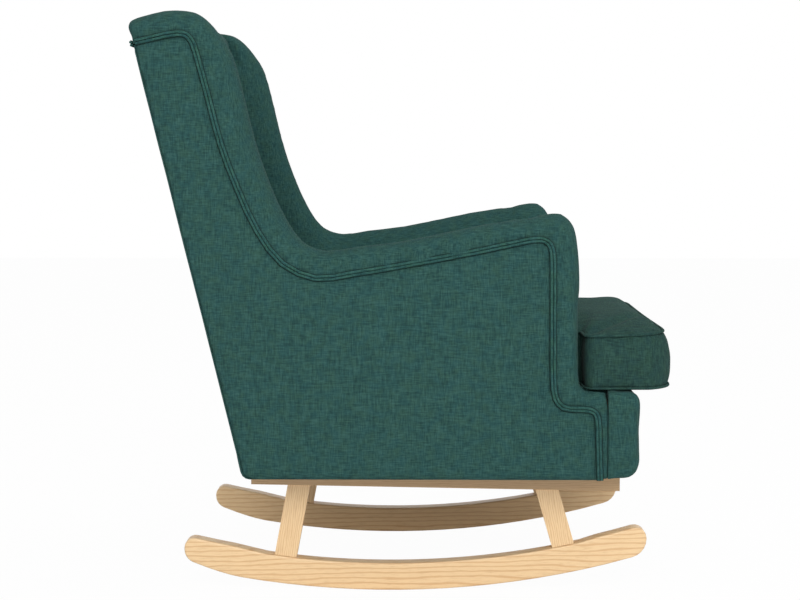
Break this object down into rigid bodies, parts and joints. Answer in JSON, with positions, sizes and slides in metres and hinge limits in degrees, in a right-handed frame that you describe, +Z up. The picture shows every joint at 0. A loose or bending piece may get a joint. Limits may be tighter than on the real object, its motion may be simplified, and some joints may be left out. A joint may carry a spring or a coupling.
{
  "type": "wingback rocking chair",
  "caption": "Upholstered wingback armchair on curved wooden rockers, with a loose T-shaped seat cushion.",
  "frame": {"origin": "on the floor under the middle of the chair's bounding box, at rest", "axes": "+Z up, the sitter faces -Y, the sitter's right side is at -X"},
  "size_m": [0.6676, 0.9126, 1],
  "materials": {
    "woven_fabric": "matt woven upholstery fabric over foam",
    "welt_fabric": "matt woven upholstery fabric over cord",
    "light_hardwood": "satin clear lacquer",
    "frame_softwood": "unfinished, planed",
    "plywood": "unfinished",
    "webbing": "matt woven strap",
    "black_lining": "matt spunbond lining",
    "spring_steel": "drawn wire",
    "bolt_steel": "zinc plated"
  },
  "bodies": {
    "chair": {"rocker_right": "light_hardwood", "leg_rear_right": "light_hardwood", "leg_front_right": "light_hardwood", "base_rail_right": "light_hardwood", "base_bolt_front_right": "bolt_steel", "base_bolt_rear_right": "bolt_steel", "back_post_right": "frame_softwood", "side_bottom_rail_right": "frame_softwood", "front_post_right": "frame_softwood", "arm_rail_right": "frame_softwood", "wing_board_right": "plywood", "seat_side_rail_right": "frame_softwood", "inside_arm_pad_right": "woven_fabric", "arm_wing_roll_right": "woven_fabric", "outside_panel_right": "woven_fabric", "side_double_welt_right": "welt_fabric", "rocker_left": "light_hardwood", "leg_rear_left": "light_hardwood", "leg_front_left": "light_hardwood", "base_rail_left": "light_hardwood", "base_bolt_front_left": "bolt_steel", "base_bolt_rear_left": "bolt_steel", "back_post_left": "frame_softwood", "side_bottom_rail_left": "frame_softwood", "front_post_left": "frame_softwood", "arm_rail_left": "frame_softwood", "wing_board_left": "plywood", "seat_side_rail_left": "frame_softwood", "inside_arm_pad_left": "woven_fabric", "arm_wing_roll_left": "woven_fabric", "outside_panel_left": "woven_fabric", "side_double_welt_left": "welt_fabric", "base_cross_rail_front": "light_hardwood", "base_cross_rail_rear": "light_hardwood", "seat_front_rail": "frame_softwood", "seat_rear_rail": "frame_softwood", "seat_cross_slat": "frame_softwood", "seat_spring_1": "spring_steel", "seat_spring_2": "spring_steel", "seat_spring_3": "spring_steel", "seat_spring_4": "spring_steel", "seat_deck": "black_lining", "dust_cover": "black_lining", "apron_board": "plywood", "front_apron_pad": "woven_fabric", "back_top_rail": "frame_softwood", "back_middle_rail": "frame_softwood", "back_strap_low": "webbing", "back_strap_middle": "webbing", "back_strap_high": "webbing", "inside_back_pad": "woven_fabric", "outside_back_panel": "woven_fabric", "back_double_welt": "welt_fabric"},
    "cushion": {"seat_cushion": "woven_fabric", "cushion_welt_bottom": "welt_fabric", "cushion_welt_top": "welt_fabric"}
  },
  "joints": [
    {"name": "cushion_lift", "type": "slide", "parent": "chair", "child": "cushion", "axis": [0, 0, 1], "range_m": [0, 0.35]}
  ]
}
